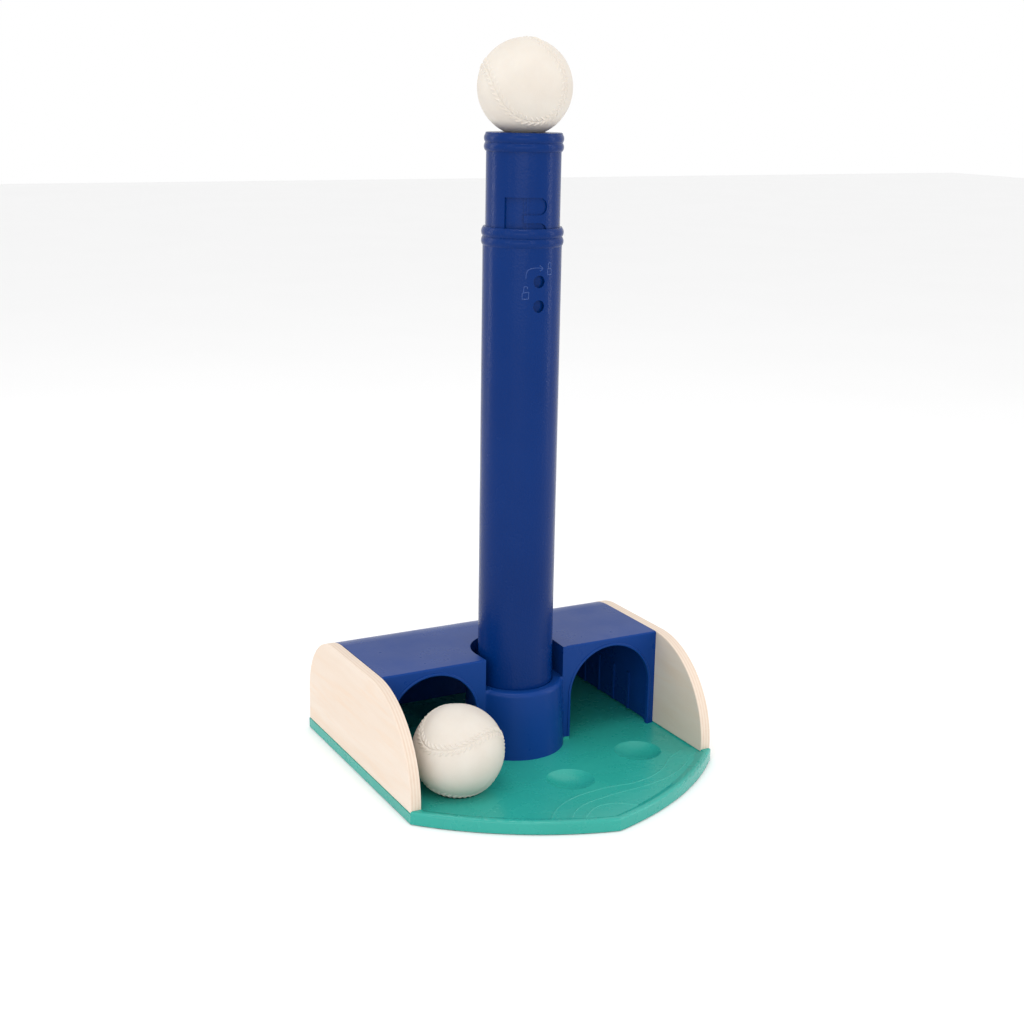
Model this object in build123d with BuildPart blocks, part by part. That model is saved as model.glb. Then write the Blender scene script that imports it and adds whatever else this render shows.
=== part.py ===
from build123d import *
from math import cos, radians, sin, sqrt
import os

# Toy batting tee: a home-plate tray, two plywood side panels, a moulded bridge with a socket,
# a mast tube standing in the socket, and a riser that slides and turns to lock inside the mast.
# X is to the right, Y to the back, Z up. The origin is on the tube's axis, on the ground.
# All sizes are in millimetres, and all angles in degrees.

# ---- Driving dimensions ----
PANEL_INNER = 129.0         # from the middle to each side panel's inner face
PANEL_THICK = 9.0
BACK_Y = 120.0              # back edge of the tray and the panels
BRIDGE_TOP = 92.3
BACK_ROUND = 55.4           # radius of the panels' and bridge's back top corner

TRAY_BOTTOM = 0.8           # the tray stands on its feet this far off the ground
FLOOR_Z = 7.8
LEDGE_Z = 8.8               # the panels stand on this ledge
RIM_Z = 11.0
RIM_ROUND = 2.2
RIM_CREST_IN = 4.0          # the rim's inner slope, from its crest to the floor
RIM_FOOT_IN = 13.0
NOSE_R = 289.0              # each curved front edge, and its centre
NOSE_CX = 69.65
NOSE_CY = 107.5
TRAY_HALF = 138.5

BALL_R = 37.5
BALL_GAP = 0.3              # between a ball and the dish that it rests in
DIMPLE_MOUTH_R = 19.7
SEAT_MOUTH_R = 17.5
DISH_EDGE = 0.5             # rounding of a dish's mouth in the tray
OVERSIZE = 400.0            # cutters that only need to pass the edge of what they cut

FASCIA_Y = -18.1            # front face of the bridge
BRIDGE_WALL = 3.0
SIDE_GAP = 0.1              # between the bridge and each panel
ARCH_X = 83.5
ARCH_R = 39.0
ARCH_SPRING_Z = 47.0
BEAD_WIDTH = 2.2
BEAD_RISE = 0.9
BOSS_FOOT_R = 42.5
BOSS_TOP_R = 40.2
BOSS_TOP_Z = 65.8
BOSS_RIM_OUT = 4.0          # roundings of the boss's rim
BOSS_RIM_IN = 1.2
BOSS_BLEND = 3.0            # hollow rounding between the boss and the fascia
COLLAR_IN_R = 37.5          # the collar is a U, open to the front
COLLAR_MOUTH = 36.4         # from the middle to each end of the U's opening, at the fascia
COLLAR_WALL = 3.5
COLLAR_BEAD_R = 2.9
LEG_LIFT = 2.8              # the inner legs of the arches stand on blocks this high

TUBE_R = 31.1
BORE_R = 29.25
TUBE_FOOT_Z = 10.0
TUBE_TOP_Z = 440.4
SOCKET_R = TUBE_R + 0.05    # running fit of the mast in the socket
RISER_R = BORE_R - 0.05     # running fit of the riser in the mast
RISER_IN_R = 25.8
RISER_FOOT_Z = 230.0
RISER_TOP_Z = 497.7
SEAT_TOP_Z = 511.7

LOCK_PITCH = 19.0           # between the riser's locking notches
NOTCH_COUNT = 9
TOP_NOTCH_Z = 457.3
NOTCH_HALF = 6.5
LOCK_ANGLE = -2.0           # where a notch ends, measured from the front towards the right
CHANNEL_FROM = -57.0        # the vertical channel beside the notches
CHANNEL_TO = -27.0
CHANNEL_FOOT_Z = 296.0
CHANNEL_FLOOR_R = 27.5
NOTCH_FLOOR_R = 28.0
NUB_R = 4.5
NUB_TIP_R = 28.45
WINDOW_R = 4.7
WINDOW_EDGE = 0.5
RIDGE_FROM = -23.0          # a low ridge across each notch, for the nub to click over
RIDGE_TO = -19.5
RIDGE_RISE = 0.4

SCREW_R = 1.7
SCREW_CLEAR_R = 2.0
HEAD_R = 3.5
HEAD_HIGH = 2.0
HEAD_SEAT_Z = 4.3           # heads of the screws from below bear here
PANEL_SCREW_Y = (-60.0, 15.0, 90.0)
PANEL_SCREW_LONG = 25.0
BRIDGE_SCREW_CIRCLE = 36.4
BRIDGE_SCREW_LONG = 18.0
WALL_SCREW_PLACES = ((0.0, 72.0), (58.0, 78.0), (106.0, 28.0))    # (Y, Z)
WALL_SCREW_LONG = 10.0

FOOT_PLACES = {
    "foot_centre": (0.0, 0.0),
    "foot_front": (0.0, -148.0),
    "foot_front_left": (-116.0, -94.0),
    "foot_front_right": (116.0, -94.0),
    "foot_back_left": (-112.0, 104.0),
    "foot_back_right": (112.0, 104.0),
}
FOOT_R = 8.0
FOOT_HIGH = 2.2
FOOT_STEM_R = 2.6
FOOT_STEM_TOP = 4.6

# ---- Worked out ----
BRIDGE_HALF = PANEL_INNER - SIDE_GAP
PANEL_MID = PANEL_INNER + PANEL_THICK / 2
PANEL_FRONT_Y = -92.4
DISH_R = BALL_R + BALL_GAP
DIMPLE_CZ = FLOOR_Z + sqrt(DISH_R**2 - DIMPLE_MOUTH_R**2)
SEAT_CZ = SEAT_TOP_Z + sqrt(DISH_R**2 - SEAT_MOUTH_R**2)
DIMPLES = ((84.2, -64.2), (-84.2, -64.2), (4.5, -89.0))
PANEL_SCREWS = [(side * PANEL_MID, y) for side in (-1, 1) for y in PANEL_SCREW_Y]

os.makedirs("parts", exist_ok=True)


def finish(part, name):
    """Label a finished piece and write it."""
    part.label = name
    export_step(part, f"parts/{name}.step")


def front_y(x, inset=0.0):
    """Y of the tray's curved front edge at x, with the edge moved in by inset."""
    return NOSE_CY - sqrt((NOSE_R - inset) ** 2 - (abs(x) + NOSE_CX) ** 2)


def home_plate(half, back, inset=0.0, mode=Mode.ADD):
    """Face with straight back and sides and two curved front edges that meet in the middle."""
    with BuildLine() as outline:
        nose = ThreePointArc(
            (half, front_y(half, inset)),
            (half / 2, front_y(half / 2, inset)),
            (0, front_y(0, inset)),
        )
        Polyline(nose @ 0, (half, back), (0, back))
        mirror(about=Plane.YZ)
    make_face(outline.edges(), mode=mode)


def side_profile(front, back, top, foot, front_round, back_round):
    """Side view of a panel or the bridge: a rounded back top corner, and a round front or none."""
    with BuildLine() as outline:
        rear = CenterArc((back - back_round, top - back_round), back_round, 0, 90)
        if front_round:
            face = CenterArc((front + front_round, top - front_round), front_round, 90, 90)
            Line(rear @ 1, face @ 0)
            Polyline(face @ 1, (front, foot), (back, foot), rear @ 0)
        else:
            Polyline(rear @ 1, (front, top), (front, foot), (back, foot), rear @ 0)
    make_face(outline.edges())


def arch(middle, radius):
    """Arch outline about a bay's middle: straight legs from the floor and a round top."""
    with BuildLine() as outline:
        crown = CenterArc((middle, ARCH_SPRING_Z), radius, 0, 180)
        Polyline(crown @ 1, (middle - radius, FLOOR_Z), (middle + radius, FLOOR_Z), crown @ 0)
    make_face(outline.edges())


def collar_u(grow):
    """Plan of the collar's U, made larger all round by grow, and carried on past the fascia."""
    side = COLLAR_IN_R + grow
    mouth = COLLAR_MOUTH + grow
    past = FASCIA_Y - BOSS_FOOT_R
    with BuildLine() as outline:
        rear = CenterArc((0, 0), side, 0, 180)
        Polyline(rear @ 1, (-mouth, FASCIA_Y), (-mouth, past), (mouth, past), (mouth, FASCIA_Y), rear @ 0)
    make_face(outline.edges())


def wedge(start, end):
    """Plan of a wedge from the axis outwards, between two angles from the front towards the right."""
    return Polyline(
        (0, 0),
        (OVERSIZE * sin(radians(start)), -OVERSIZE * cos(radians(start))),
        (OVERSIZE * sin(radians(end)), -OVERSIZE * cos(radians(end))),
        close=True,
        mode=Mode.PRIVATE,
    )


def beads(radius, crest, heights, reach):
    """Half of a tube's ring: one bulging bead at each height, for a revolved profile."""
    for height in heights:
        with BuildLine() as outline:
            bulge = ThreePointArc((radius, height - reach), (crest, height), (radius, height + reach))
            Polyline(bulge @ 1, (radius - 1, height + reach), (radius - 1, height - reach), bulge @ 0)
        make_face(outline.edges())


# ---- Screws: one pattern, with its head's bearing face at the origin ----
def screw_pattern(length):
    """Pan-head screw with a cross recess and a pointed end, along +Z."""
    with BuildPart() as screw:
        with BuildSketch(Plane.XZ):
            with BuildLine():
                dome = ThreePointArc((0, -HEAD_HIGH), (HEAD_R * 0.75, -HEAD_HIGH * 0.75), (HEAD_R, 0))
                Polyline(
                    dome @ 1, (SCREW_R, 0), (SCREW_R, length - 2.5), (0, length), dome @ 0
                )
            make_face()
        revolve(axis=Axis.Z)
        with BuildSketch(Plane.XY.offset(-HEAD_HIGH)):
            Rectangle(3.6, 0.8)
            Rectangle(0.8, 3.6)
        extrude(amount=1.2, mode=Mode.SUBTRACT)
    return screw.part


# ---- Tray ----
CONTOURS = (
    ((-48, -150), (-41, -141), (-20, -125), (15, -117), (52, -118), (77, -109), (103, -88), (123, -80),
     (131, -79)),
    ((-36, -156), (-16, -139.5), (16, -131.5), (55, -128), (72, -124), (93, -114.5), (112, -100)),
    ((-24, -158), (-6, -146.5), (6, -145.3), (15, -148.5), (26, -158)),
)
TERRACE_STEP = 0.7
RIB_PITCH = 54.0
RIB_THICK = 2.0
SKIRT = 3.5
POCKET_DEEP = 4.4
RIM_SLOPE_RUN = (RIM_FOOT_IN - RIM_CREST_IN) / (RIM_Z - FLOOR_Z)

with BuildPart() as base_tray:
    with BuildSketch(Plane.XY.offset(TRAY_BOTTOM)):
        home_plate(TRAY_HALF, BACK_Y)
    extrude(amount=RIM_Z - TRAY_BOTTOM)
    fillet(base_tray.faces().sort_by(Axis.Z)[-1].edges(), RIM_ROUND)
    # the floor, sunk inside the rim's slope
    with BuildSketch(Plane.XY.offset(FLOOR_Z)):
        home_plate(PANEL_INNER, BACK_Y + 1, RIM_FOOT_IN)
    with BuildSketch(Plane.XY.offset(RIM_Z + 0.01)):
        home_plate(PANEL_INNER, BACK_Y + 1, RIM_CREST_IN)
    loft(mode=Mode.SUBTRACT)
    # the ledges under the panels
    with BuildSketch(Plane.XY.offset(LEDGE_Z)):
        with Locations((-PANEL_MID, PANEL_FRONT_Y - 0.1), (PANEL_MID, PANEL_FRONT_Y - 0.1)):
            Rectangle(12, BACK_Y - PANEL_FRONT_Y + 2, align=(Align.CENTER, Align.MIN))
    extrude(amount=RIM_Z, mode=Mode.SUBTRACT)
    # shallow terraces that climb towards the rim
    for level, contour in enumerate(CONTOURS, 1):
        with BuildSketch(Plane.XY.offset(FLOOR_Z - 0.5)):
            with BuildLine():
                edge = Spline(*contour)
                Polyline(edge @ 1, (OVERSIZE, -100), (OVERSIZE, -OVERSIZE), (-OVERSIZE, -OVERSIZE), edge @ 0)
            make_face()
            home_plate(
                PANEL_INNER,
                BACK_Y,
                RIM_FOOT_IN - level * TERRACE_STEP * RIM_SLOPE_RUN,
                mode=Mode.INTERSECT,
            )
        extrude(amount=0.5 + level * TERRACE_STEP)
    # the dishes that balls rest in
    with Locations(*[(x, y, DIMPLE_CZ) for x, y in DIMPLES]):
        Sphere(DISH_R, mode=Mode.SUBTRACT)
    floor_circles = base_tray.edges().filter_by(GeomType.CIRCLE).filter_by_position(
        Axis.Z, FLOOR_Z - 0.01, FLOOR_Z + 0.01
    )
    fillet(floor_circles.filter_by(lambda e: abs(e.radius - DIMPLE_MOUTH_R) < 0.1), DISH_EDGE)
    # blocks under the inner legs of the arches, outside the boss
    with BuildSketch(Plane.XY.offset(FLOOR_Z)):
        with Locations((0, FASCIA_Y)):
            Rectangle(2 * (ARCH_X - ARCH_R), BRIDGE_WALL, align=(Align.CENTER, Align.MIN))
        Circle(BOSS_FOOT_R + 0.1, mode=Mode.SUBTRACT)
    extrude(amount=LEG_LIFT)
    # the ribbed underside, with a pad round every dish, foot and screw
    with BuildSketch(Plane.XY.offset(TRAY_BOTTOM)):
        home_plate(TRAY_HALF - SKIRT, BACK_Y - SKIRT, SKIRT)
        with GridLocations(RIB_PITCH, 0, 5, 1):
            Rectangle(RIB_THICK, OVERSIZE, mode=Mode.SUBTRACT)
        with GridLocations(0, RIB_PITCH, 1, 7):
            Rectangle(OVERSIZE, RIB_THICK, mode=Mode.SUBTRACT)
        with Locations(*DIMPLES):
            Circle(DIMPLE_MOUTH_R + 2, mode=Mode.SUBTRACT)
        with Locations(*FOOT_PLACES.values()):
            Circle(FOOT_R + 2, mode=Mode.SUBTRACT)
        with Locations(*PANEL_SCREWS):
            Circle(7, mode=Mode.SUBTRACT)
        Circle(BOSS_FOOT_R, mode=Mode.SUBTRACT)
    extrude(amount=POCKET_DEEP, mode=Mode.SUBTRACT)
    # seats for the feet
    with BuildSketch(Plane.XY.offset(TRAY_BOTTOM)):
        with Locations(*FOOT_PLACES.values()):
            Circle(FOOT_R + 0.1)
    extrude(amount=FOOT_HIGH - TRAY_BOTTOM, mode=Mode.SUBTRACT)
    with BuildSketch(Plane.XY.offset(TRAY_BOTTOM)):
        with Locations(*FOOT_PLACES.values()):
            Circle(FOOT_STEM_R + 0.05)
    extrude(amount=FOOT_STEM_TOP + 0.3 - TRAY_BOTTOM, mode=Mode.SUBTRACT)
    # counterbored holes for the screws
    with BuildSketch(Plane.XY.offset(TRAY_BOTTOM)):
        with Locations(*PANEL_SCREWS):
            Circle(HEAD_R + 0.4)
        with PolarLocations(BRIDGE_SCREW_CIRCLE, 4, start_angle=45):
            Circle(HEAD_R + 0.4)
    extrude(amount=HEAD_SEAT_Z - TRAY_BOTTOM, mode=Mode.SUBTRACT)
    with BuildSketch(Plane.XY.offset(TRAY_BOTTOM)):
        with Locations(*PANEL_SCREWS):
            Circle(SCREW_CLEAR_R)
        with PolarLocations(BRIDGE_SCREW_CIRCLE, 4, start_angle=45):
            Circle(SCREW_CLEAR_R)
    extrude(amount=RIM_Z, mode=Mode.SUBTRACT)
finish(base_tray.part, "base_tray")

# ---- Rubber feet, pushed into the tray ----
for name, (x, y) in FOOT_PLACES.items():
    with BuildPart() as foot:
        with BuildSketch(Plane.XZ.offset(-y)):
            with Locations((x, 0)):
                Rectangle(FOOT_R, FOOT_HIGH, align=(Align.MIN, Align.MIN))
                Rectangle(FOOT_STEM_R, FOOT_STEM_TOP, align=(Align.MIN, Align.MIN))
        revolve(axis=Axis((x, y, 0), (0, 0, 1)))
        chamfer(foot.faces().sort_by(Axis.Z)[0].edges(), 0.6)
    finish(foot.part, name)

# ---- Plywood side panels ----
for side, name in ((-1, "left"), (1, "right")):
    outer_x = side * (PANEL_INNER + PANEL_THICK)
    inner_x = side * PANEL_INNER
    with BuildPart() as side_panel:
        with BuildSketch(Plane.YZ.offset(min(outer_x, inner_x))):
            side_profile(PANEL_FRONT_Y, BACK_Y, BRIDGE_TOP, LEDGE_Z, BRIDGE_TOP - 14.3, BACK_ROUND)
        extrude(amount=PANEL_THICK)
        fillet(side_panel.faces().filter_by(Axis.X).edges(), 0.8)
        # pilot holes, from below and from the bridge's end wall
        with BuildSketch(Plane.XY.offset(LEDGE_Z)):
            with Locations(*[(side * PANEL_MID, y) for y in PANEL_SCREW_Y]):
                Circle(SCREW_R + 0.05)
        extrude(amount=HEAD_SEAT_Z + PANEL_SCREW_LONG + 0.5 - LEDGE_Z, mode=Mode.SUBTRACT)
        with BuildSketch(Plane.YZ.offset(inner_x)):
            with Locations(*WALL_SCREW_PLACES):
                Circle(SCREW_R + 0.05)
        extrude(amount=side * (WALL_SCREW_LONG - BRIDGE_WALL + 0.5), mode=Mode.SUBTRACT)
    finish(side_panel.part, f"side_panel_{name}")

# ---- Bridge: one moulding with two bays, an end wall each side and the mast's socket ----
SLEEVE_WALL = 2.85
POCKET_OUT_R = 38.4
POCKET_TOP_Z = 60.0
WEB_R = 4.2
WALL_LIFT = 2.0             # the end walls stop this far above the floor
RIB_RISE = 1.2
RIB_WIDE = 3.0
END_RIB_Y = (18.0, 43.0, 68.0, 93.0)
BACK_RIB_X = (56.0, 78.0, 100.0)

with BuildPart() as bridge_shell:
    with BuildSketch(Plane.YZ.offset(-BRIDGE_HALF)):
        side_profile(FASCIA_Y, BACK_Y - 0.5, BRIDGE_TOP, FLOOR_Z, 0, BACK_ROUND)
    extrude(amount=2 * BRIDGE_HALF)
    front_top = bridge_shell.edges().filter_by(Axis.X).filter_by_position(Axis.Y, FASCIA_Y - 1, FASCIA_Y + 1)
    fillet(front_top.sort_by(Axis.Z)[-1], 1.5)
    with BuildSketch(Plane.YZ.offset(BRIDGE_WALL - BRIDGE_HALF)):
        side_profile(
            FASCIA_Y + BRIDGE_WALL,
            BACK_Y - 0.5 - BRIDGE_WALL,
            BRIDGE_TOP - BRIDGE_WALL,
            FLOOR_Z - 1,
            0,
            BACK_ROUND - BRIDGE_WALL,
        )
    extrude(amount=2 * (BRIDGE_HALF - BRIDGE_WALL), mode=Mode.SUBTRACT)
    # room for the tray's blocks under the inner leg of each arch
    with BuildSketch(Plane.XY.offset(FLOOR_Z)):
        with Locations((0, FASCIA_Y)):
            Rectangle(2 * (ARCH_X - ARCH_R), 2 * BRIDGE_WALL + 1)
    extrude(amount=LEG_LIFT, mode=Mode.SUBTRACT)
    # the socket's boss, then the collar that carries on round its back up through the roof
    with BuildSketch(Plane.XZ):
        with BuildLine():
            Polyline(
                (0, FLOOR_Z), (BOSS_FOOT_R, FLOOR_Z), (BOSS_TOP_R, BOSS_TOP_Z), (0, BOSS_TOP_Z), close=True
            )
        make_face()
    revolve(axis=Axis.Z)
    boss_rim = bridge_shell.edges().filter_by(GeomType.CIRCLE).filter_by_position(
        Axis.Z, BOSS_TOP_Z - 0.1, BOSS_TOP_Z + 0.1
    )
    fillet(boss_rim, BOSS_RIM_OUT)
    corner_y = (FASCIA_Y - BOSS_BLEND, FASCIA_Y + 0.1)
    corners = bridge_shell.edges().filter_by_position(Axis.Y, *corner_y).filter_by_position(Axis.Z, 20, 50)
    fillet(corners.filter_by(lambda e: abs(abs(e.center().X) - BOSS_TOP_R) < BOSS_BLEND), BOSS_BLEND)
    with BuildSketch(Plane.XY.offset(BOSS_TOP_Z - BRIDGE_WALL)):
        collar_u(COLLAR_WALL)
        with Locations((0, FASCIA_Y)):
            Rectangle(
                4 * COLLAR_IN_R, 2 * BOSS_FOOT_R, align=(Align.CENTER, Align.MAX), mode=Mode.SUBTRACT
            )
    extrude(amount=BRIDGE_TOP - BOSS_TOP_Z + BRIDGE_WALL)
    with BuildLine():
        lip_side = COLLAR_IN_R + COLLAR_BEAD_R
        lip_mouth = COLLAR_MOUTH + COLLAR_BEAD_R
        lip_rear = CenterArc((0, 0, BRIDGE_TOP), lip_side, 0, 180)
        Line((lip_mouth, FASCIA_Y, BRIDGE_TOP), lip_rear @ 0)
        Line(lip_rear @ 1, (-lip_mouth, FASCIA_Y, BRIDGE_TOP))
    with BuildSketch(Plane(origin=(lip_mouth, FASCIA_Y, BRIDGE_TOP), z_dir=(0, 1, 0))):
        Circle(COLLAR_BEAD_R)
    sweep(transition=Transition.ROUND)
    # the inside of the U, open at the bridge's face
    with BuildSketch(Plane.XY.offset(BOSS_TOP_Z)):
        collar_u(0)
    extrude(amount=BRIDGE_TOP, mode=Mode.SUBTRACT)
    with BuildSketch(Plane.XY.offset(FLOOR_Z - 1)):
        Circle(SOCKET_R)
    extrude(amount=BOSS_TOP_Z, mode=Mode.SUBTRACT)
    bore_rim = bridge_shell.edges().filter_by(GeomType.CIRCLE).filter_by_position(
        Axis.Z, BOSS_TOP_Z - 0.1, BOSS_TOP_Z + 0.1
    )
    fillet(bore_rim.sort_by(SortBy.RADIUS)[0], BOSS_RIM_IN)
    # hollow boss wall, with a web for each screw from below
    with BuildSketch(Plane.XY.offset(FLOOR_Z)):
        Circle(POCKET_OUT_R)
        Circle(SOCKET_R + SLEEVE_WALL, mode=Mode.SUBTRACT)
        with PolarLocations(BRIDGE_SCREW_CIRCLE, 4, start_angle=45):
            Circle(WEB_R, mode=Mode.SUBTRACT)
    extrude(amount=POCKET_TOP_Z - FLOOR_Z, mode=Mode.SUBTRACT)
    with BuildSketch(Plane.XY.offset(FLOOR_Z)):
        with PolarLocations(BRIDGE_SCREW_CIRCLE, 4, start_angle=45):
            Circle(SCREW_R + 0.05)
    extrude(amount=BRIDGE_SCREW_LONG + HEAD_SEAT_Z + 0.5 - FLOOR_Z, mode=Mode.SUBTRACT)
    for side in (-1, 1):
        # the arched mouth of the bay, with a raised bead round it
        with BuildSketch(Plane.XZ.offset(-FASCIA_Y - 0.5)):
            arch(side * ARCH_X, ARCH_R + BEAD_WIDTH)
        extrude(amount=0.5 + BEAD_RISE)
        with BuildSketch(Plane.XZ.offset(-FASCIA_Y - BRIDGE_WALL - 1)):
            arch(side * ARCH_X, ARCH_R)
        extrude(amount=BRIDGE_WALL + 4, mode=Mode.SUBTRACT)
        # the bead stops above the block, as the inner leg does
        with BuildSketch(Plane.XY.offset(FLOOR_Z)):
            with Locations((side * (ARCH_X - ARCH_R), FASCIA_Y)):
                Rectangle(2 * BEAD_WIDTH + 1, 2 * BEAD_RISE + 1)
        extrude(amount=LEG_LIFT, mode=Mode.SUBTRACT)
        bead_edges = bridge_shell.edges().filter_by_position(
            Axis.Y, FASCIA_Y - BEAD_RISE - 0.1, FASCIA_Y - BEAD_RISE + 0.1
        )
        bead_side = bead_edges.filter_by_position(Axis.Z, FLOOR_Z + 0.5, BRIDGE_TOP)
        fillet(bead_side.filter_by_position(Axis.X, *sorted((side * 40, side * 127))), 0.7)
        # ribs on the end wall and the back wall
        with BuildSketch(Plane.XY.offset(FLOOR_Z + WALL_LIFT - 0.8)):
            with Locations(*[(side * (BRIDGE_HALF - BRIDGE_WALL), y) for y in END_RIB_Y]):
                Rectangle(2 * RIB_RISE, RIB_WIDE)
            with Locations(*[(side * x, BACK_Y - 0.5 - BRIDGE_WALL) for x in BACK_RIB_X]):
                Rectangle(RIB_WIDE, 2 * RIB_RISE)
        extrude(amount=34)
        # the end wall stops short of the floor, between its two corners
        with BuildSketch(Plane.XY.offset(FLOOR_Z)):
            with Locations((side * BRIDGE_HALF, (END_RIB_Y[0] + END_RIB_Y[-1]) / 2)):
                Rectangle(4 * BRIDGE_WALL, END_RIB_Y[-1] - END_RIB_Y[0] + 50)
        extrude(amount=WALL_LIFT - 0.8, mode=Mode.SUBTRACT)
        # clearance holes for the screws into the panel
        with BuildSketch(Plane.YZ.offset(side * (BRIDGE_HALF - BRIDGE_WALL - 2))):
            with Locations(*WALL_SCREW_PLACES):
                Circle(SCREW_CLEAR_R)
        extrude(amount=side * (BRIDGE_WALL + 4), mode=Mode.SUBTRACT)
finish(bridge_shell.part, "bridge_shell")

# ---- Screws, in groups ----
panel_screw = screw_pattern(PANEL_SCREW_LONG)
bridge_screw = screw_pattern(BRIDGE_SCREW_LONG)
wall_screw = screw_pattern(WALL_SCREW_LONG)

with BuildPart(Plane.XY.offset(HEAD_SEAT_Z)) as bridge_screws:
    with PolarLocations(BRIDGE_SCREW_CIRCLE, 4, start_angle=45):
        add(bridge_screw)
finish(bridge_screws.part, "bridge_screws")

for side, name in ((-1, "left"), (1, "right")):
    with BuildPart() as panel_screws:
        with Locations(*[(side * PANEL_MID, y, HEAD_SEAT_Z) for y in PANEL_SCREW_Y]):
            add(panel_screw)
    finish(panel_screws.part, f"panel_screws_{name}")
    wall_x = side * (BRIDGE_HALF - BRIDGE_WALL)
    with BuildPart() as wall_screws:
        with Locations(*[Location((wall_x, y, z), (0, side * 90, 0)) for y, z in WALL_SCREW_PLACES]):
            add(wall_screw)
    finish(wall_screws.part, f"end_wall_screws_{name}")

# ---- Mast tube, with its end plug ----
OUTER_BEADS = (429.3, 436.3)
OUTER_BEAD_CREST = 32.35
OUTER_BEAD_REACH = 3.5

with BuildPart() as outer_tube:
    with BuildSketch(Plane.XZ):
        with Locations((BORE_R, TUBE_FOOT_Z)):
            Rectangle(TUBE_R - BORE_R, TUBE_TOP_Z - TUBE_FOOT_Z, align=(Align.MIN, Align.MIN))
        beads(TUBE_R, OUTER_BEAD_CREST, OUTER_BEADS, OUTER_BEAD_REACH)
    revolve(axis=Axis.Z)
    fillet(outer_tube.faces().sort_by(Axis.Z)[-1].edges().sort_by(SortBy.RADIUS)[-1], 0.5)
    # two lock nubs inside the bore, and two round windows beside them
    for step in (3, 4):
        height = TOP_NOTCH_Z - step * LOCK_PITCH
        nub_angle = (CHANNEL_FROM + CHANNEL_TO) / 2
        outward = Vector(sin(radians(nub_angle)), -cos(radians(nub_angle)), 0)
        with BuildSketch(Plane(origin=outward * NUB_TIP_R + Vector(0, 0, height), z_dir=outward)):
            Circle(NUB_R)
        extrude(amount=TUBE_R - NUB_TIP_R - 0.9)
        outward = Vector(sin(radians(LOCK_ANGLE)), -cos(radians(LOCK_ANGLE)), 0)
        with BuildSketch(Plane(origin=outward * 20 + Vector(0, 0, height), z_dir=outward)):
            Circle(WINDOW_R)
        extrude(amount=20, mode=Mode.SUBTRACT)
        rim = outer_tube.edges().filter_by_position(Axis.Z, height - 1, height + 1)
        rim = rim.filter_by_position(Axis.Y, -TUBE_R, -BORE_R - 0.5)
        fillet(rim.filter_by(lambda e: e.length > 2 * WINDOW_R), WINDOW_EDGE)
finish(outer_tube.part, "outer_tube")

with BuildPart() as tube_plug:
    with BuildSketch(Plane.XY.offset(FLOOR_Z)):
        Circle(TUBE_R)
    extrude(amount=TUBE_FOOT_Z - FLOOR_Z)
    with BuildSketch(Plane.XY.offset(TUBE_FOOT_Z)):
        Circle(BORE_R - 0.02)
        Circle(BORE_R - 3, mode=Mode.SUBTRACT)
    extrude(amount=14)
    chamfer(tube_plug.faces().sort_by(Axis.Z)[-1].edges().sort_by(SortBy.RADIUS)[-1], 0.8)
finish(tube_plug.part, "tube_end_plug")

# ---- Riser: a channel up its side, and a notch off the channel at each height ----
RING_GROOVE_Z = 236.0
RING_HIGH = 10.0
RING_GROOVE_R = 27.6

with BuildPart() as notch_cutter:
    with BuildSketch(Plane.XZ.offset(CHANNEL_FLOOR_R / 2)):
        for number in range(NOTCH_COUNT):
            height = TOP_NOTCH_Z - number * LOCK_PITCH
            with Locations((RISER_R * sin(radians(LOCK_ANGLE)), height)):
                Circle(NOTCH_HALF)
                Rectangle(
                    RISER_R * sin(radians(-CHANNEL_TO)), 2 * NOTCH_HALF, align=(Align.MAX, Align.CENTER)
                )
    extrude(amount=RISER_R)
    Cylinder(NOTCH_FLOOR_R, 3 * OVERSIZE, mode=Mode.SUBTRACT)
    with BuildSketch(Plane.XY.offset(-OVERSIZE)):
        Circle(NOTCH_FLOOR_R + RIDGE_RISE)
        with BuildLine():
            add(wedge(RIDGE_FROM, RIDGE_TO))
        make_face(mode=Mode.INTERSECT)
    extrude(amount=3 * OVERSIZE, mode=Mode.SUBTRACT)

with BuildPart() as riser_tube:
    with BuildSketch(Plane.XY.offset(RISER_FOOT_Z)):
        Circle(RISER_R)
        Circle(RISER_IN_R, mode=Mode.SUBTRACT)
    extrude(amount=RISER_TOP_Z - RISER_FOOT_Z)
    with BuildSketch(Plane.XY.offset(CHANNEL_FOOT_Z)):
        with BuildLine():
            add(wedge(CHANNEL_FROM, CHANNEL_TO))
        make_face()
        Circle(CHANNEL_FLOOR_R, mode=Mode.SUBTRACT)
    extrude(amount=TOP_NOTCH_Z + NOTCH_HALF - CHANNEL_FOOT_Z, mode=Mode.SUBTRACT)
    add(notch_cutter.part, mode=Mode.SUBTRACT)
    with BuildSketch(Plane.XY.offset(RING_GROOVE_Z)):
        Circle(RISER_R + 1)
        Circle(RING_GROOVE_R, mode=Mode.SUBTRACT)
    extrude(amount=RING_HIGH, mode=Mode.SUBTRACT)
finish(riser_tube.part, "riser_tube")

with BuildPart() as glide_ring:
    with BuildSketch(Plane.XY.offset(RING_GROOVE_Z + 0.1)):
        Circle(RISER_R)
        Circle(RING_GROOVE_R + 0.05, mode=Mode.SUBTRACT)
        with Locations((0, RISER_R)):
            Rectangle(2.5, 6, mode=Mode.SUBTRACT)
    extrude(amount=RING_HIGH - 0.2)
finish(glide_ring.part, "glide_ring")

# ---- Ball seat: a cap with a double bead, pressed into the riser's top ----
SEAT_BEADS = (500.9, 507.2)
SEAT_BEAD_CREST = 30.95
SEAT_BEAD_REACH = 3.15
SEAT_BODY_R = 29.9
SEAT_PLUG_Z = 484.0
SEAT_HOLLOW_Z = 503.5
SEAT_EDGE = 1.1

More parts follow.
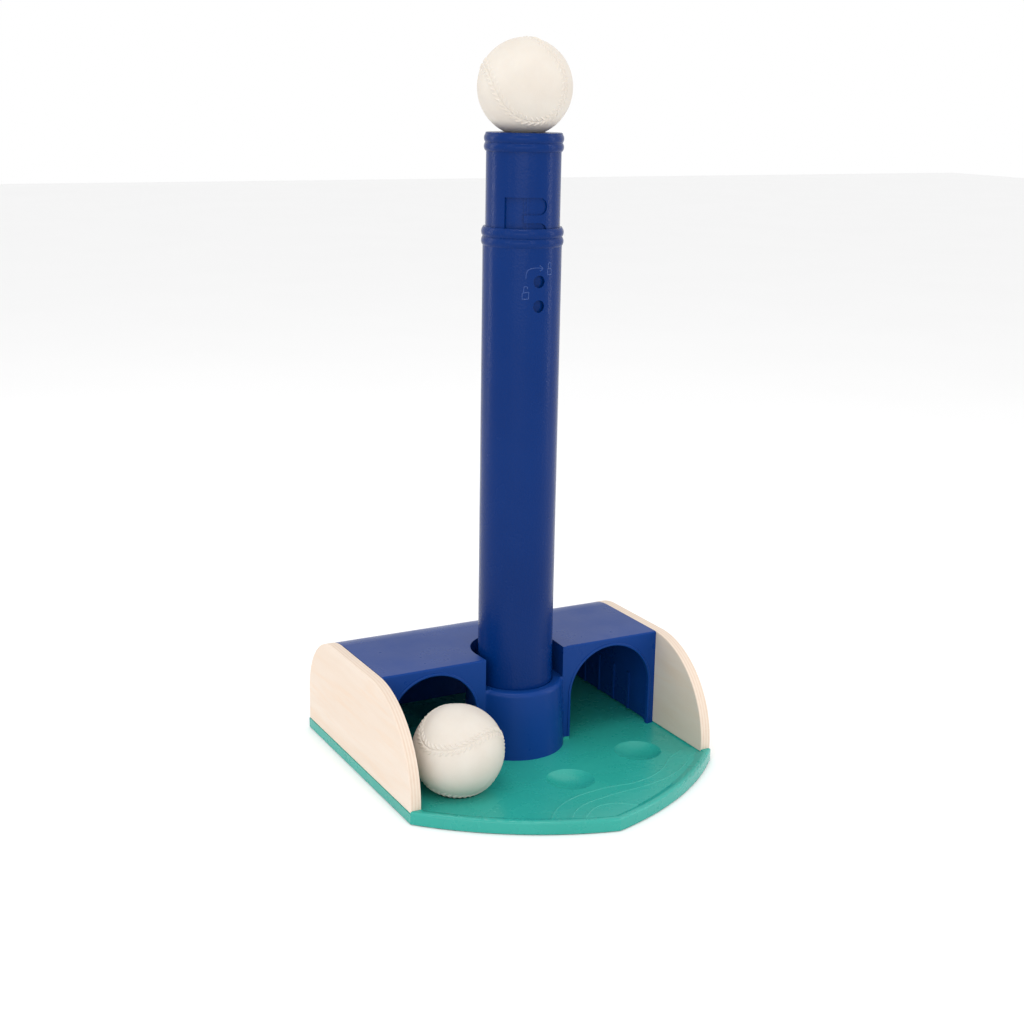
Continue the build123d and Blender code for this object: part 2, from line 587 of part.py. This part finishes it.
with BuildPart() as ball_seat:
    with BuildSketch(Plane.XZ):
        with Locations((0, RISER_TOP_Z)):
            Rectangle(SEAT_BODY_R, SEAT_TOP_Z - RISER_TOP_Z, align=(Align.MIN, Align.MIN))
        with Locations((0, SEAT_PLUG_Z)):
            Rectangle(RISER_IN_R - 0.05, RISER_TOP_Z - SEAT_PLUG_Z, align=(Align.MIN, Align.MIN))
        beads(SEAT_BODY_R, SEAT_BEAD_CREST, SEAT_BEADS, SEAT_BEAD_REACH)
        with Locations((0, SEAT_PLUG_Z)):
            Rectangle(
                RISER_IN_R - 3, SEAT_HOLLOW_Z - SEAT_PLUG_Z, align=(Align.MIN, Align.MIN), mode=Mode.SUBTRACT
            )
    revolve(axis=Axis.Z)
    fillet(ball_seat.faces().sort_by(Axis.Z)[-1].edges().sort_by(SortBy.RADIUS)[-1], SEAT_EDGE)
    with Locations((0, 0, SEAT_CZ)):
        Sphere(DISH_R, mode=Mode.SUBTRACT)
finish(ball_seat.part, "ball_seat")

# ---- Balls ----
for name, place in (
    ("ball_on_tee", (0, 0, SEAT_CZ)),
    ("tray_ball", (*DIMPLES[1], DIMPLE_CZ)),
):
    with BuildPart() as ball:
        with Locations(place):
            Sphere(BALL_R)
    finish(ball.part, name)
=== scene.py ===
"""Looks for the toy batting tee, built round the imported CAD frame. Metres, Z up."""
from math import cos, exp, pi, radians, sin

import bmesh
import bpy
from mathutils import Euler, Matrix, Vector
from mathutils.kdtree import KDTree


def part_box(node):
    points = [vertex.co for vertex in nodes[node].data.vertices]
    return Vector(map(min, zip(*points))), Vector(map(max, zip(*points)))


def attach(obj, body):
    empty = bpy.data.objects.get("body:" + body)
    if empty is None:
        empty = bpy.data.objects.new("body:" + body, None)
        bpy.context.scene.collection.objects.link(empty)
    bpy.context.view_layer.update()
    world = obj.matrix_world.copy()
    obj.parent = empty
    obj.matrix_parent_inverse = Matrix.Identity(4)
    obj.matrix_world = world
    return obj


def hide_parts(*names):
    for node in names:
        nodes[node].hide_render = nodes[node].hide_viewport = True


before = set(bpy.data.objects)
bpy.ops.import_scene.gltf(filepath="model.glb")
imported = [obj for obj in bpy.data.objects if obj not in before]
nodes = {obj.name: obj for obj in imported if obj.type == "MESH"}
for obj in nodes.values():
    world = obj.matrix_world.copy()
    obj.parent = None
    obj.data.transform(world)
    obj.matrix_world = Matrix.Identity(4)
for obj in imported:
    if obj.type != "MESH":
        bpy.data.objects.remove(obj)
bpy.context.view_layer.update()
MM = 0.001

# ---- Camera: the photograph's view ----
VIEW_AZIMUTH = -28.3        # degrees; the camera stands to the left of the front
VIEW_ELEVATION = 15.0
VIEW_ROLL = 0.97
VIEW_DISTANCE = 1.2776
VIEW_AIM = Vector((0, 0, 0.25))
VIEW_SLIDE = Vector((-0.00509, -0.0394))    # to the right and up, in the picture's plane
LENS = 55.31
SENSOR = 36.0


def view_axes(azimuth, elevation):
    """Right, up and back directions of a camera that looks at the object."""
    a, e = radians(azimuth), radians(elevation)
    back = Vector((sin(a) * cos(e), -cos(a) * cos(e), sin(e)))
    right = Vector((cos(a), sin(a), 0))
    return right, back.cross(right), back


def make_camera():
    right, up, back = view_axes(VIEW_AZIMUTH, VIEW_ELEVATION)
    roll = radians(VIEW_ROLL)
    tilted_right = right * cos(roll) + up * sin(roll)
    tilted_up = up * cos(roll) - right * sin(roll)
    camera = bpy.data.objects.new("camera", bpy.data.cameras.new("camera"))
    bpy.context.scene.collection.objects.link(camera)
    camera.data.lens = LENS
    camera.data.sensor_width = SENSOR
    camera.data.clip_end = 50
    place = VIEW_AIM + back * VIEW_DISTANCE + tilted_right * VIEW_SLIDE.x + tilted_up * VIEW_SLIDE.y
    turn = Matrix((tilted_right, tilted_up, back)).transposed().to_4x4()
    camera.matrix_world = Matrix.Translation(place) @ turn
    bpy.context.scene.camera = camera


# ---- Node helpers for materials ----
class Nodes:
    """A material's node tree, with short calls for the nodes that the materials share."""

    def __init__(self, name):
        self.material = bpy.data.materials.new(name)
        self.material.use_nodes = True
        self.tree = self.material.node_tree
        self.shader = self.tree.nodes["Principled BSDF"]
        self.place = self.add("ShaderNodeTexCoord").outputs["Object"]

    def add(self, kind, **settings):
        node = self.tree.nodes.new(kind)
        for key, value in settings.items():
            setattr(node, key, value)
        return node

    def link(self, output, socket):
        self.tree.links.new(output, socket)

    def put(self, value, socket):
        """A number or colour on the socket, or a link if value is another node's output."""
        if isinstance(value, bpy.types.NodeSocket):
            self.link(value, socket)
        else:
            socket.default_value = value

    def maths(self, operation, *values):
        node = self.add("ShaderNodeMath", operation=operation)
        for value, socket in zip(values, node.inputs):
            self.put(value, socket)
        return node.outputs[0]

    def axis(self, letter, source=None):
        split = self.add("ShaderNodeSeparateXYZ")
        self.link(source or self.place, split.inputs[0])
        return split.outputs[letter]

    def stretched(self, x, y, z):
        node = self.add("ShaderNodeMapping")
        node.inputs["Scale"].default_value = (x, y, z)
        self.link(self.place, node.inputs["Vector"])
        return node.outputs["Vector"]

    def noise(self, scale, detail=2.0, roughness=0.5, source=None, distortion=0.0):
        node = self.add("ShaderNodeTexNoise")
        self.link(source or self.place, node.inputs["Vector"])
        node.inputs["Scale"].default_value = scale
        node.inputs["Detail"].default_value = detail
        node.inputs["Roughness"].default_value = roughness
        node.inputs["Distortion"].default_value = distortion
        return node.outputs[0]

    def cells(self, scale):
        node = self.add("ShaderNodeTexVoronoi", feature="SMOOTH_F1")
        self.link(self.place, node.inputs["Vector"])
        node.inputs["Scale"].default_value = scale
        return node.outputs["Distance"]

    def fit(self, value, low, high, to_low=0.0, to_high=1.0):
        node = self.add("ShaderNodeMapRange", clamp=True)
        for number, socket in zip((low, high, to_low, to_high), list(node.inputs)[1:5]):
            self.put(number, socket)
        self.link(value, node.inputs[0])
        return node.outputs[0]

    def mix(self, share, first, second):
        node = self.add("ShaderNodeMix", data_type="RGBA")
        self.put(share, node.inputs["Factor"])
        colours = [s for s in node.inputs if s.type == "RGBA"]
        self.put(first, colours[0])
        self.put(second, colours[1])
        return [s for s in node.outputs if s.type == "RGBA"][0]

    def bump(self, *layers):
        """Bump from (height, strength, distance in metres) layers, one on top of another."""
        normal = None
        for height, strength, distance in layers:
            node = self.add("ShaderNodeBump")
            node.inputs["Strength"].default_value = strength
            node.inputs["Distance"].default_value = distance
            self.link(height, node.inputs["Height"])
            if normal is not None:
                self.link(normal, node.inputs["Normal"])
            normal = node.outputs["Normal"]
        self.link(normal, self.shader.inputs["Normal"])


def rgb(red, green, blue):
    """A colour given as 0 to 255 screen values, as linear light."""
    channels = [c / 255 for c in (red, green, blue)]
    return (*[c / 12.92 if c <= 0.04045 else ((c + 0.055) / 1.055) ** 2.4 for c in channels], 1.0)


# ---- Materials ----
def moulded_plastic(name, dark, light, roughness, gloss, grain_size, grain_depth, ripple):
    """Opaque moulded plastic: slight mottling, a fine etched grain, and a soft waviness.

    gloss is the specular level, and grain_size, grain_depth and ripple are in metres.
    """
    n = Nodes(name)
    mottle = n.noise(9.0, 3.0, 0.6)
    n.link(n.mix(n.fit(mottle, 0.3, 0.7), dark, light), n.shader.inputs["Base Color"])
    n.link(n.fit(n.noise(35.0, 4.0, 0.6), 0.3, 0.7, roughness - 0.05, roughness + 0.06),
           n.shader.inputs["Roughness"])
    n.shader.inputs["IOR"].default_value = 1.5
    n.shader.inputs["Specular IOR Level"].default_value = gloss
    n.bump(
        (n.cells(1 / grain_size), 0.7, grain_depth),
        (n.noise(0.6 / grain_size, 3.0, 0.6), 0.5, grain_depth),
        (n.noise(14.0, 1.0, 0.4), 0.25, ripple),
    )
    return n.material


PLY_THICKNESS = 1.285 * MM


def birch_plywood(name, panel_inner):
    """Pale birch with long grain on the faces and stacked plies on the cut edges.

    panel_inner is how far each panel's inner face stands from the middle, in metres.
    """
    n = Nodes(name)
    fibres = n.noise(90.0, 6.0, 0.62, n.stretched(3.0, 0.16, 1.6), 0.4)
    figure = n.noise(10.0, 4.0, 0.55, n.stretched(0.8, 0.5, 2.6), 1.2)
    face = n.mix(n.fit(figure, 0.35, 0.75), rgb(222, 208, 194), rgb(217, 198, 180))
    face = n.mix(n.fit(fibres, 0.5, 0.74, 0.0, 0.3), face, rgb(224, 188, 154))
    depth = n.maths("SUBTRACT", n.maths("ABSOLUTE", n.axis("X")), panel_inner)
    ply = n.maths("DIVIDE", depth, PLY_THICKNESS)
    waver = n.maths("MULTIPLY", n.noise(24.0, 3.0, 0.5), 0.35)
    phase = n.maths("FRACT", n.maths("MULTIPLY", n.maths("ADD", ply, waver), 0.5))
    stripe = n.fit(n.maths("ABSOLUTE", n.maths("SUBTRACT", phase, 0.5)), 0.2, 0.3)
    pores = n.fit(n.noise(420.0, 3.0, 0.6, n.stretched(1.0, 0.6, 0.6)), 0.45, 0.75)
    cut = n.mix(stripe, rgb(219, 203, 187), rgb(213, 194, 176))
    cut = n.mix(n.maths("MULTIPLY", pores, n.fit(stripe, 0, 1, 0.05, 0.3)), cut, rgb(206, 168, 142))
    facing = n.maths("ABSOLUTE", n.axis("X", n.add("ShaderNodeNewGeometry").outputs["True Normal"]))
    on_face = n.fit(facing, 0.6, 0.95)
    n.link(n.mix(on_face, cut, face), n.shader.inputs["Base Color"])
    n.link(n.fit(fibres, 0.3, 0.8, 0.5, 0.64), n.shader.inputs["Roughness"])
    n.shader.inputs["Specular IOR Level"].default_value = 0.35
    n.bump((fibres, 0.25, 0.0002), (n.noise(700.0, 2.0, 0.5), 0.15, 0.00008))
    return n.material


def ball_skin(name, light, dark):
    """Soft moulded polyurethane with a fine leather-like grain."""
    n = Nodes(name)
    n.link(n.mix(n.fit(n.noise(40.0, 4.0, 0.6), 0.3, 0.7), light, dark), n.shader.inputs["Base Color"])
    n.link(n.fit(n.noise(120.0, 3.0, 0.6), 0.3, 0.7, 0.5, 0.62), n.shader.inputs["Roughness"])
    n.shader.inputs["Subsurface Weight"].default_value = 0.12
    n.shader.inputs["Subsurface Radius"].default_value = (0.004, 0.003, 0.002)
    n.shader.inputs["Subsurface Scale"].default_value = 0.6
    n.bump(
        (n.cells(900.0), 0.4, 0.00012),
        (n.noise(1500.0, 3.0, 0.6), 0.3, 0.00006),
    )
    return n.material


def plain(name, colour, roughness, metallic, grain_scale, grain_depth):
    """Rubber or plated metal: one tone, slightly uneven, with a fine grain."""
    n = Nodes(name)
    tone = n.fit(n.noise(60.0, 3.0, 0.6), 0.3, 0.7, 0.0, 0.35)
    n.link(n.mix(tone, colour, (*[c * 0.6 for c in colour[:3]], 1.0)), n.shader.inputs["Base Color"])
    n.link(n.fit(n.noise(200.0, 2.0, 0.5), 0.3, 0.7, roughness - 0.06, roughness + 0.06),
           n.shader.inputs["Roughness"])
    n.shader.inputs["Metallic"].default_value = metallic
    n.bump((n.noise(grain_scale, 2.0, 0.5), 0.3, grain_depth))
    return n.material


def dress(material, *names):
    for name in names:
        piece = nodes[name]
        piece.data.materials.clear()
        piece.data.materials.append(material)


panel_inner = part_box("side_panel_right")[0].x
blue = moulded_plastic(
    "bridge_plastic", rgb(9, 52, 119), rgb(13, 57, 127), 0.3, 0.13, 0.0009, 0.00004, 0.0004
)
tube_blue = moulded_plastic(
    "tube_plastic", rgb(0, 38, 98), rgb(2, 42, 104), 0.24, 0.12, 0.0015, 0.00017, 0.0004
)
green = moulded_plastic(
    "tray_plastic", rgb(36, 152, 139), rgb(42, 159, 146), 0.27, 0.4, 0.0025, 0.000008, 0.00006
)
hidden_blue = moulded_plastic(
    "hidden_plastic", rgb(8, 38, 100), rgb(11, 42, 108), 0.5, 0.2, 0.0008, 0.00004, 0.0004
)
# The lips' green, lighter than the tray, is a painted highlight standing in for light caught by the
# rounded lip edges.
lip_green_painted_highlight = moulded_plastic(
    "tray_edge_painted_highlight", rgb(50, 164, 150), rgb(56, 170, 156), 0.24, 0.5, 0.0009, 0.000008, 0.0001
)
# The marks' lighter blue is a painted highlight; the embossed marks are really the tube's own blue.
mark_blue_painted_highlight = moulded_plastic(
    "tube_mark_painted_highlight", rgb(16, 54, 118), rgb(22, 60, 124), 0.26, 0.4, 0.0015, 0.00005, 0.0002
)
wood = birch_plywood("plywood", panel_inner)
skin = ball_skin("ball_foam", rgb(210, 203, 193), rgb(205, 196, 185))
rubber = plain("foot_rubber", rgb(38, 38, 40), 0.7, 0.0, 900.0, 0.00008)
steel = plain("screw_steel", rgb(196, 196, 200), 0.32, 1.0, 1500.0, 0.00002)

dress(blue, "bridge_shell")
dress(tube_blue, "outer_tube", "riser_tube", "ball_seat")
dress(green, "base_tray")
dress(hidden_blue, "tube_end_plug", "glide_ring")
dress(wood, "side_panel_left", "side_panel_right")
dress(rubber, *[name for name in nodes if name.startswith("foot_")])
dress(steel, *[name for name in nodes if "_screws" in name])

# ---- Balls: a crease with a row of raised chevron stitches on a slightly smaller sphere ----
SEAM_REACH = 0.561          # how near the seam's lobes come to the ball's poles, and their swing
SEAM_SWING = 0.247
STITCHES = 82
STITCH_LEAN = 0.95          # along the seam for each unit away from it
STITCH_FROM = 0.8 * MM
STITCH_TO = 4.6 * MM
STITCH_HALF = 0.75 * MM
STITCH_RISE = 0.65 * MM
STITCH_NARROW = 0.72        # a leaning stitch's width, for each unit of its width along the seam
CREASE_HALF = 0.5 * MM
CREASE_DEEP = 0.45 * MM
PUFF_RISE = 0.12 * MM       # the skin is puffed up a little on each side of the crease
PUFF_AT = 1.5 * MM
PUFF_HALF = 1.2 * MM
BALL_GRID = 56


def seam_curve(turn, radius, count=2400):
    """Points round the seam with their directions along it, and its whole length."""
    points = []
    for i in range(count):
        t = 4 * pi * i / count
        latitude = (pi / 2 - SEAM_REACH) * cos(t)
        longitude = t / 2 + SEAM_SWING * sin(2 * t)
        spot = Vector((cos(latitude) * cos(longitude), cos(latitude) * sin(longitude), sin(latitude)))
        points.append(turn @ (spot * radius))
    along = [(points[(i + 1) % count] - points[i - 1]).normalized() for i in range(count)]
    travel = [0.0]
    for i in range(1, count + 1):
        travel.append(travel[-1] + (points[i % count] - points[i - 1]).length)
    return points, along, travel


def stitch_relief(along, across, pitch):
    """Height of the ball's skin at a place that is given along and across the seam."""
    away = abs(across)
    height = -CREASE_DEEP * exp(-((away / CREASE_HALF) ** 2))
    height += PUFF_RISE * exp(-(((away - PUFF_AT) / PUFF_HALF) ** 2))
    if STITCH_FROM < away < STITCH_TO:
        phase = (along + away * STITCH_LEAN) / pitch
        beside = abs(phase - round(phase)) * pitch * STITCH_NARROW
        share = (away - STITCH_FROM) / (STITCH_TO - STITCH_FROM)
        ends = min(1.0, 5 * share, 4 * (1 - share))
        height += STITCH_RISE * ends * max(0.0, 1 - (beside / STITCH_HALF) ** 2)
    return height


def make_ball(name, node, body, angles):
    """A ball in the CAD ball's place, with a finer mesh near the seam, which angles turn."""
    low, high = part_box(node)
    middle = (low + high) / 2
    radius = (high.z - low.z) / 2 - STITCH_RISE - PUFF_RISE
    turn = Euler([radians(a) for a in angles], "XYZ").to_matrix()
    points, along, travel = seam_curve(turn, radius)
    pitch = travel[-1] / STITCHES
    tree = KDTree(len(points))
    for i, point in enumerate(points):
        tree.insert(point, i)
    tree.balance()
    shape = bmesh.new()
    bmesh.ops.create_cube(shape, size=2)
    bmesh.ops.subdivide_edges(shape, edges=shape.edges[:], cuts=BALL_GRID - 1, use_grid_fill=True)
    for vert in shape.verts:
        even = [sin(c * pi / 4) / cos(c * pi / 4) for c in vert.co]
        vert.co = Vector(even).normalized() * radius
    for reach in (STITCH_TO + 1.4 * MM, STITCH_TO + 0.5 * MM):
        near = {v for v in shape.verts if tree.find(v.co)[2] < reach}
        edges = [e for e in shape.edges if e.verts[0] in near and e.verts[1] in near]
        bmesh.ops.subdivide_edges(shape, edges=edges, cuts=1, use_grid_fill=True)
        for vert in shape.verts:
            vert.co = vert.co.normalized() * radius
    for vert in shape.verts:
        spot, i, gap = tree.find(vert.co)
        height = 0.0
        if gap < STITCH_TO + 2 * MM:
            offset = vert.co - spot
            side = spot.normalized().cross(along[i])
            height = stitch_relief(travel[i] + offset.dot(along[i]), offset.dot(side), pitch)
        vert.co = vert.co.normalized() * (radius + height) + middle
    mesh = bpy.data.meshes.new(name)
    shape.to_mesh(mesh)
    shape.free()
    mesh.polygons.foreach_set("use_smooth", [True] * len(mesh.polygons))
    mesh.materials.append(skin)
    ball = bpy.data.objects.new(name, mesh)
    bpy.context.scene.collection.objects.link(ball)
    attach(ball, body)
    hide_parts(node)


make_ball("top_play_ball", "ball_on_tee", "top_ball", (-12.3, -28.5, -15.8))
make_ball("low_play_ball", "tray_ball", "low_ball", (78.7, -9.3, 106.9))


def round_curve(name, radius):
    """An empty curve whose lines get a round section."""
    curve = bpy.data.curves.new(name, "CURVE")
    curve.dimensions = "3D"
    curve.bevel_depth = radius
    curve.bevel_resolution = 3
    return curve


def place_curve(curve, body, material):
    curve.materials.append(material)
    piece = bpy.data.objects.new(curve.name, curve)
    bpy.context.scene.collection.objects.link(piece)
    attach(piece, body)


# ---- Raised lips along the edges of the tray's terraces, coloured lighter green as a painted highlight, with sizes in millimetres ----
FLOOR_Z = 7.8
TERRACE_STEP = 0.7
LIP_RADIUS = 0.35
LIP_SUNK = 0.12
CONTOURS = (
    ((-47.5, -150), (-41, -141), (-20, -125), (15, -117), (52, -118), (77, -109), (103, -88), (117, -81)),
    ((-34, -156), (-16, -139.5), (16, -131.5), (55, -128), (72, -124), (93, -114.5), (112, -100)),
    ((-22, -158), (-6, -146.5), (6, -145.3), (15, -148.5), (25, -157)),
)


def terrace_lips():
    curve = round_curve("terrace_lips", LIP_RADIUS * MM)
    for level, contour in enumerate(CONTOURS, 1):
        spline = curve.splines.new("BEZIER")
        spline.bezier_points.add(len(contour) - 1)
        for point, (x, y) in zip(spline.bezier_points, contour):
            point.co = (x * MM, y * MM, (FLOOR_Z + level * TERRACE_STEP - LIP_SUNK) * MM)
            point.handle_left_type = "AUTO"
            point.handle_right_type = "AUTO"
    place_curve(curve, "base", lip_green_painted_highlight)


terrace_lips()

# ---- Raised turn-to-lock marks on the mast, coloured lighter than the tube as a painted highlight ----
MARK_RADIUS = 0.45 * MM
MARK_SUNK = 0.2 * MM
MAST_RADIUS = 31.1 * MM


def mast_mark(name, *lines):
    """Thin rounded lines on the mast: each is a list of (angle from the front, height in mm)."""
    curve = round_curve(name, MARK_RADIUS)
    curve.use_fill_caps = True
    for line in lines:
        spline = curve.splines.new("NURBS")
        spline.points.add(len(line) - 1)
        for point, (angle, height) in zip(spline.points, line):
            a, r = radians(angle), MAST_RADIUS - MARK_SUNK
            point.co = (r * sin(a), -r * cos(a), height * MM, 1)
        spline.order_u = 3
        spline.use_endpoint_u = True
    place_curve(curve, "mast", mark_blue_painted_highlight)


mast_mark(
    "turn_arrow",
    ((-22.5, 403), (-22.0, 408), (-18, 410.2), (-11, 411), (-4, 411.2), (2.5, 410.6)),
    ((-2.4, 413.0), (0, 412.1), (3.2, 410.5)),
    ((3.2, 410.5), (0.6, 409.3), (-1.8, 408.6)),
)
mast_mark(
    "lock_mark",
    ((11.4, 410.3), (15, 410.0), (18.5, 410.3)),
    ((18.5, 410.3), (18.7, 408), (18.5, 405.6)),
    ((18.5, 405.6), (15, 405.3), (11.4, 405.6)),
    ((11.4, 405.6), (11.2, 408), (11.4, 410.3)),
    ((12.4, 410.3), (12.4, 414.2), (15, 415.0), (17.6, 414.2), (17.6, 410.3)),
)
mast_mark(
    "open_mark",
    ((-27.2, 391.8), (-22.5, 392.4), (-17.7, 392.7)),
    ((-27.2, 391.8), (-27.3, 389.5), (-27.2, 387.2)),
    ((-27.2, 387.2), (-22.5, 387.0), (-18.2, 387.4)),
    ((-18.2, 387.4), (-18.0, 390), (-17.9, 392.7)),
    ((-25.4, 392.0), (-25.4, 396.4), (-22.6, 397.2), (-19.8, 396.4), (-19.8, 394.9)),
)

# ---- Floor, world and lights ----
FLOOR_HALF = 8
WORLD_STRENGTH = 1.0
LIGHT_AIM = Vector((0, 0, 0.28))
SOFTBOXES = (
    # name, degrees round from the camera, elevation, distance, width, height, watts
    ("left_side", -104, 16, 1.7, 0.16, 1.5, 4.5),
    ("left_front", -40, 24, 1.9, 0.08, 1.3, 2.5),
    ("right_front", 30, 24, 2.0, 0.08, 1.3, 2.5),
    ("right_side", 92, 16, 1.7, 0.16, 1.5, 4.5),
    ("overhead", -10, 72, 1.7, 0.9, 0.4, 6),
    ("low_fill", -4, 9, 2.2, 1.6, 0.8, 7),
)


def make_stage():
    mesh = bpy.data.meshes.new("floor")
    shape = bmesh.new()
    signs = ((-1, -1), (1, -1), (1, 1), (-1, 1))
    shape.faces.new([shape.verts.new((x * FLOOR_HALF, y * FLOOR_HALF, 0)) for x, y in signs])
    shape.to_mesh(mesh)
    shape.free()
    floor = bpy.data.objects.new("floor", mesh)
    bpy.context.scene.collection.objects.link(floor)
    n = Nodes("floor")
    n.link(n.mix(n.noise(3.0), (0.9, 0.9, 0.9, 1), (0.92, 0.92, 0.92, 1)), n.shader.inputs["Base Color"])
    n.shader.inputs["Roughness"].default_value = 0.9
    mesh.materials.append(n.material)
    world = bpy.data.worlds.new("studio")
    bpy.context.scene.world = world
    world.use_nodes = True
    background = world.node_tree.nodes["Background"]
    background.inputs["Color"].default_value = (1.0, 1.0, 1.0, 1.0)
    background.inputs["Strength"].default_value = WORLD_STRENGTH


def softbox(name, azimuth, elevation, distance, width, height, power):
    right, up, back = view_axes(azimuth, elevation)
    light = bpy.data.lights.new(name, "AREA")
    light.shape = "RECTANGLE"
    light.size = width
    light.size_y = height
    light.energy = power
    holder = bpy.data.objects.new(name, light)
    bpy.context.scene.collection.objects.link(holder)
    turn = Matrix((right, up, back)).transposed().to_4x4()
    holder.matrix_world = Matrix.Translation(LIGHT_AIM + back * distance) @ turn


make_stage()
for name, turn, *rest in SOFTBOXES:
    softbox(name, VIEW_AZIMUTH + turn, *rest)
make_camera()
bpy.context.scene.view_settings.view_transform = "Standard"
